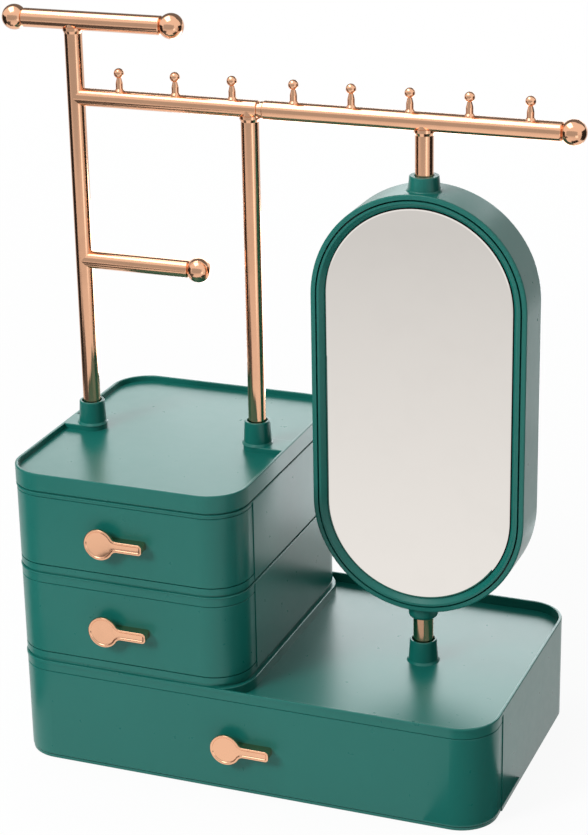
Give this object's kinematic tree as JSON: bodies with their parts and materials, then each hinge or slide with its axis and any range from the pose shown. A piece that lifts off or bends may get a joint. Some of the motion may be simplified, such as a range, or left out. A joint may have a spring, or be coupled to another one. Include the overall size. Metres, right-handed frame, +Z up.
{
  "type": "jewelry stand with drawers",
  "caption": "Vanity stand with a wide drawer base, stacked small drawer units with a tray on top, a tube rack with hooks for necklaces and a turning mirror.",
  "frame": {"origin": "middle of the base's flat underside, on the table", "axes": "+Z up, the drawers open towards -Y, the bars run along X"},
  "size_m": [0.3176, 0.1666, 0.4008],
  "materials": {
    "green_plastic": "smooth glossy moulding",
    "rose_gold": "polished rose-gold plating on metal",
    "mirror_glass": "silvered glass with a bevelled edge",
    "backing_board": "plain",
    "bush_plastic": "plain",
    "pin_steel": "turned",
    "screw_steel": "zinc plated"
  },
  "bodies": {
    "stand": {"base_casing": "green_plastic", "base_bottom_panel": "green_plastic", "base_panel_screws": "screw_steel", "middle_casing": "green_plastic", "upper_casing": "green_plastic", "lid_tray": "green_plastic", "left_post": "rose_gold", "right_post": "rose_gold", "top_bar": "rose_gold", "top_bar_balls": "rose_gold", "middle_bar": "rose_gold", "middle_bar_hooks": "rose_gold", "lower_arm": "rose_gold", "lower_arm_ball": "rose_gold", "bar_connector": "rose_gold", "right_bar": "rose_gold", "right_bar_hooks": "rose_gold", "right_bar_ball": "rose_gold", "mirror_lower_post": "rose_gold", "mirror_upper_post": "rose_gold", "mirror_spindle": "pin_steel"},
    "base_drawer": {"base_drawer_front": "green_plastic", "base_drawer_tray": "green_plastic", "base_drawer_pull": "rose_gold", "base_pull_screws": "screw_steel"},
    "middle_drawer": {"middle_drawer_front": "green_plastic", "middle_drawer_tray": "green_plastic", "middle_drawer_pull": "rose_gold", "middle_pull_screws": "screw_steel"},
    "upper_drawer": {"upper_drawer_front": "green_plastic", "upper_drawer_tray": "green_plastic", "upper_drawer_pull": "rose_gold", "upper_pull_screws": "screw_steel"},
    "mirror": {"mirror_shell": "green_plastic", "mirror_bezel": "green_plastic", "mirror_glass": "mirror_glass", "mirror_backing": "backing_board", "mirror_upper_bush": "bush_plastic", "mirror_lower_bush": "bush_plastic"}
  },
  "joints": [
    {"name": "base_drawer_slide", "type": "slide", "parent": "stand", "child": "base_drawer", "axis": [0, -1, 0], "range_m": [0, 0.11]},
    {"name": "middle_drawer_slide", "type": "slide", "parent": "stand", "child": "middle_drawer", "axis": [0, -1, 0], "range_m": [0, 0.11]},
    {"name": "upper_drawer_slide", "type": "slide", "parent": "stand", "child": "upper_drawer", "axis": [0, -1, 0], "range_m": [0, 0.11]},
    {"name": "mirror_swivel", "type": "hinge", "parent": "stand", "child": "mirror", "pos_m": [0.074, 0, 0.204], "axis": [0, 0, 1], "continuous": true}
  ]
}
